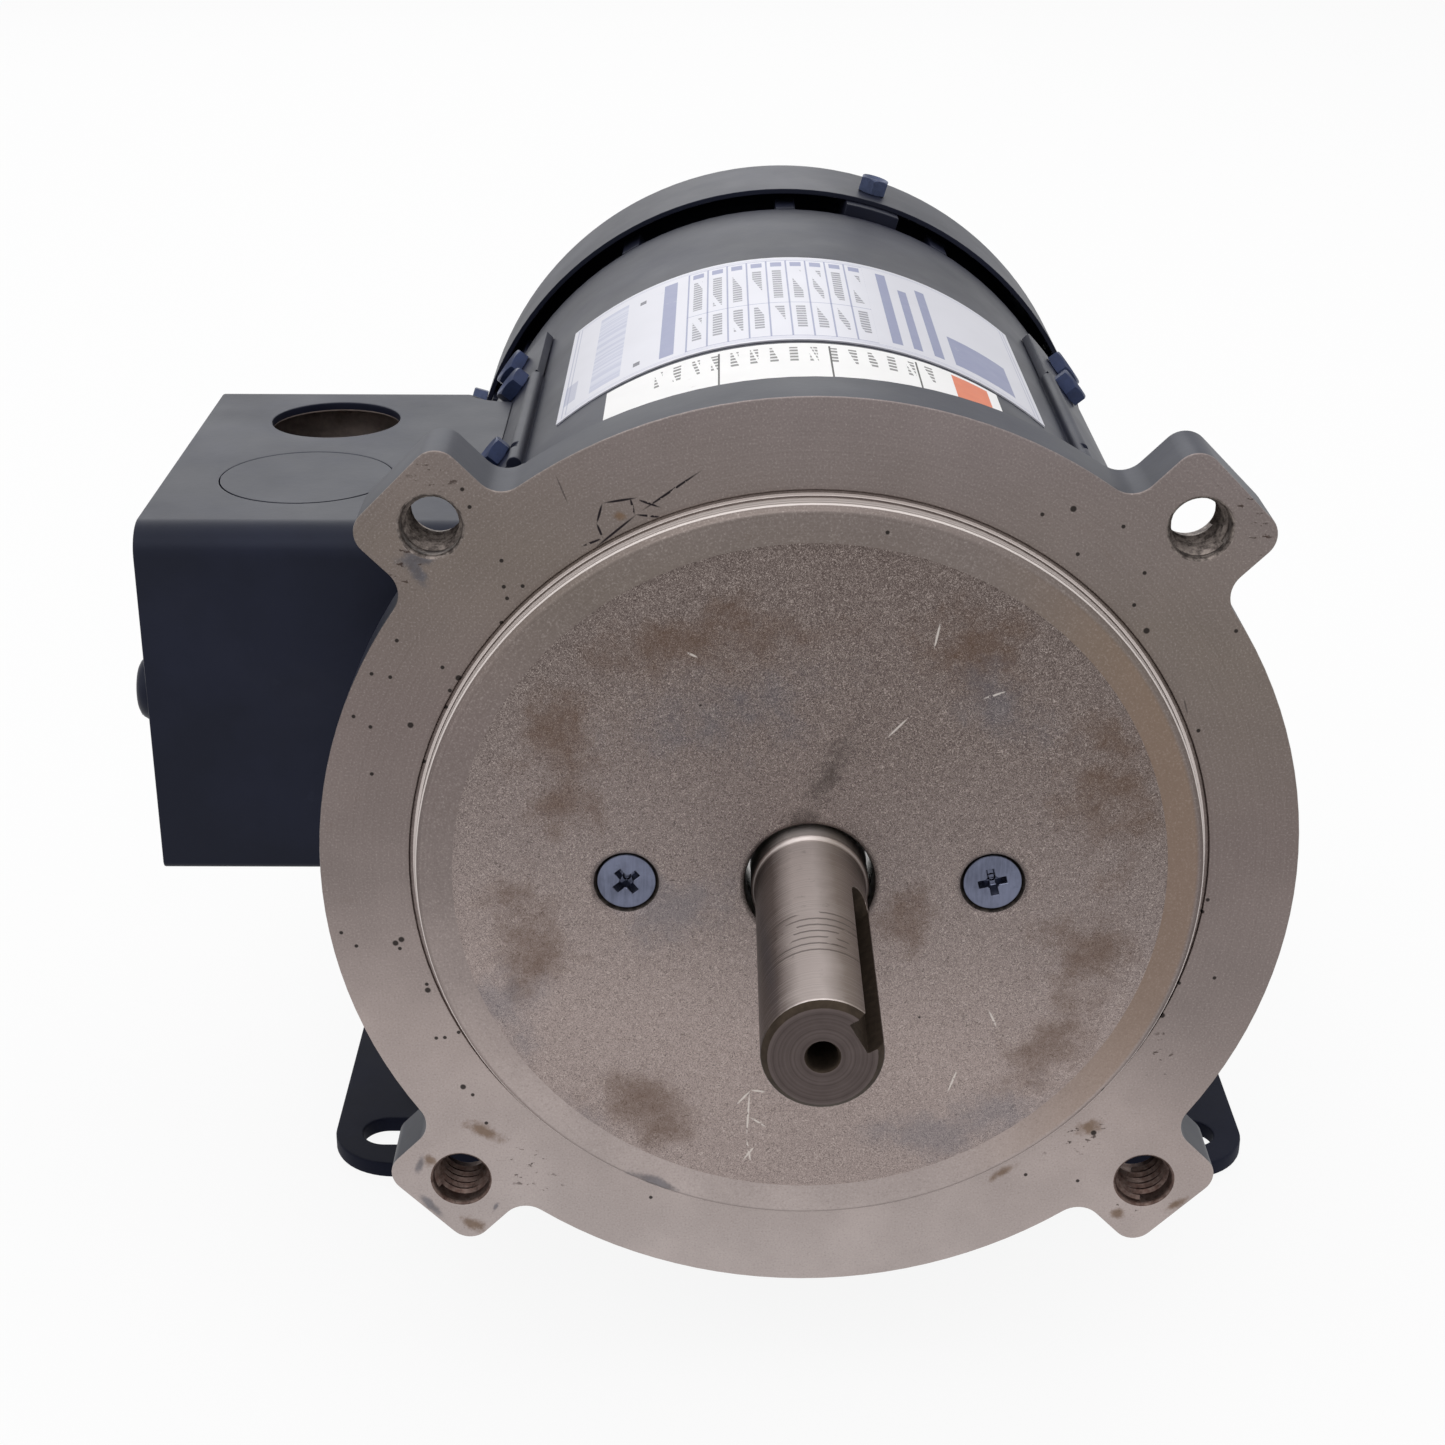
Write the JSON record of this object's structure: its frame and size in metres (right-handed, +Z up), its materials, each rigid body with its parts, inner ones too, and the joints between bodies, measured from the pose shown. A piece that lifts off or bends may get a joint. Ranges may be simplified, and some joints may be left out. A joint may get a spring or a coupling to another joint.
{
  "type": "electric motor",
  "caption": "Totally enclosed fan-cooled brush motor with a tapped mounting face, keyed shaft, side conduit box and a bolted foot base.",
  "frame": {"origin": "centre of the base's four slots, on the underside of the base plate", "axes": "+Z up, the shaft's axis lies along Y and its output end points to -Y, the conduit box is on the -X side"},
  "size_m": [0.1893, 0.2666, 0.1601],
  "materials": {
    "painted_steel": "dark blue-black satin paint",
    "cast_iron": "turned face with an as-cast centre",
    "ground_steel": "ground and polished",
    "dark_steel": "plain pressed steel",
    "zinc": "bluish zinc plate",
    "ferrite": "sintered ferrite magnet",
    "lamination": "stacked laminations",
    "copper": "copper, varnished in the windings",
    "phenolic": "black phenolic moulding",
    "fibre": "green slot insulation",
    "carbon": "pressed carbon brush",
    "rubber": "black rubber",
    "wire": "red and black lead insulation",
    "green_zinc": "green earth screw",
    "shield": "pressed bearing shield",
    "label": "satin silver label with plain blue rules",
    "sticker": "white paper label with plain rules"
  },
  "bodies": {
    "stator": {"drive_endbell": "cast_iron", "shell": "painted_steel", "magnet_top": "ferrite", "magnet_bottom": "ferrite", "magnet_clips": "dark_steel", "front_bearing_outer": "ground_steel", "front_bearing_shields": "shield", "rear_bearing_outer": "ground_steel", "rear_bearing_shields": "shield", "bearing_retainer": "dark_steel", "retainer_screws": "zinc", "wave_spring": "dark_steel", "rear_endbell": "painted_steel", "through_bolts": "zinc", "brush_holder_right": "phenolic", "brush_holder_left": "phenolic", "brush_spring_right": "dark_steel", "brush_spring_left": "dark_steel", "brush_cap_right": "phenolic", "brush_cap_left": "phenolic", "fan_cover": "painted_steel", "cover_screws": "painted_steel", "side_pad_right": "painted_steel", "side_pad_left": "painted_steel", "pad_screws": "painted_steel", "conduit_box": "painted_steel", "blank_knockout": "painted_steel", "lid_gasket": "rubber", "conduit_lid": "painted_steel", "lid_screws": "zinc", "box_bolts": "zinc", "ground_screw": "green_zinc", "lead_grommet": "rubber", "motor_leads": "wire", "base": "painted_steel", "base_screws": "zinc", "nameplate": "label", "connection_label": "sticker"},
    "rotor": {"shaft": "ground_steel", "armature_core": "lamination", "core_insulators": "fibre", "armature_coils": "copper", "commutator_hub": "phenolic", "commutator_bars": "copper", "front_bearing_inner": "ground_steel", "rear_bearing_inner": "ground_steel", "fan": "phenolic", "fan_clip": "dark_steel"},
    "front_ball_cage": {"front_bearing_balls": "ground_steel"},
    "rear_ball_cage": {"rear_bearing_balls": "ground_steel"},
    "right_brush": {"brush_right": "carbon"},
    "left_brush": {"brush_left": "carbon"}
  },
  "joints": [
    {"name": "rotor_spin", "type": "hinge", "parent": "stator", "child": "rotor", "pos_m": [0, 0, 0.0889], "axis": [0, 1, 0], "continuous": true},
    {"name": "front_cage_spin", "type": "hinge", "parent": "stator", "child": "front_ball_cage", "pos_m": [0, 0, 0.0889], "axis": [0, 1, 0], "continuous": true},
    {"name": "rear_cage_spin", "type": "hinge", "parent": "stator", "child": "rear_ball_cage", "pos_m": [0, 0, 0.0889], "axis": [0, 1, 0], "continuous": true},
    {"name": "right_brush_slide", "type": "slide", "parent": "stator", "child": "right_brush", "axis": [1, 0, 0], "range_m": [0, 0.003], "stiffness_N_per_m": 60, "springref_m": -0.02, "deforming": ["brush_spring_right"]},
    {"name": "left_brush_slide", "type": "slide", "parent": "stator", "child": "left_brush", "axis": [-1, 0, 0], "range_m": [0, 0.003], "stiffness_N_per_m": 60, "springref_m": -0.02, "deforming": ["brush_spring_left"]}
  ],
  "couplings": [
    {"joint": "front_cage_spin", "follows": "rotor_spin", "ratio": 0.3817},
    {"joint": "rear_cage_spin", "follows": "rotor_spin", "ratio": 0.3817}
  ]
}
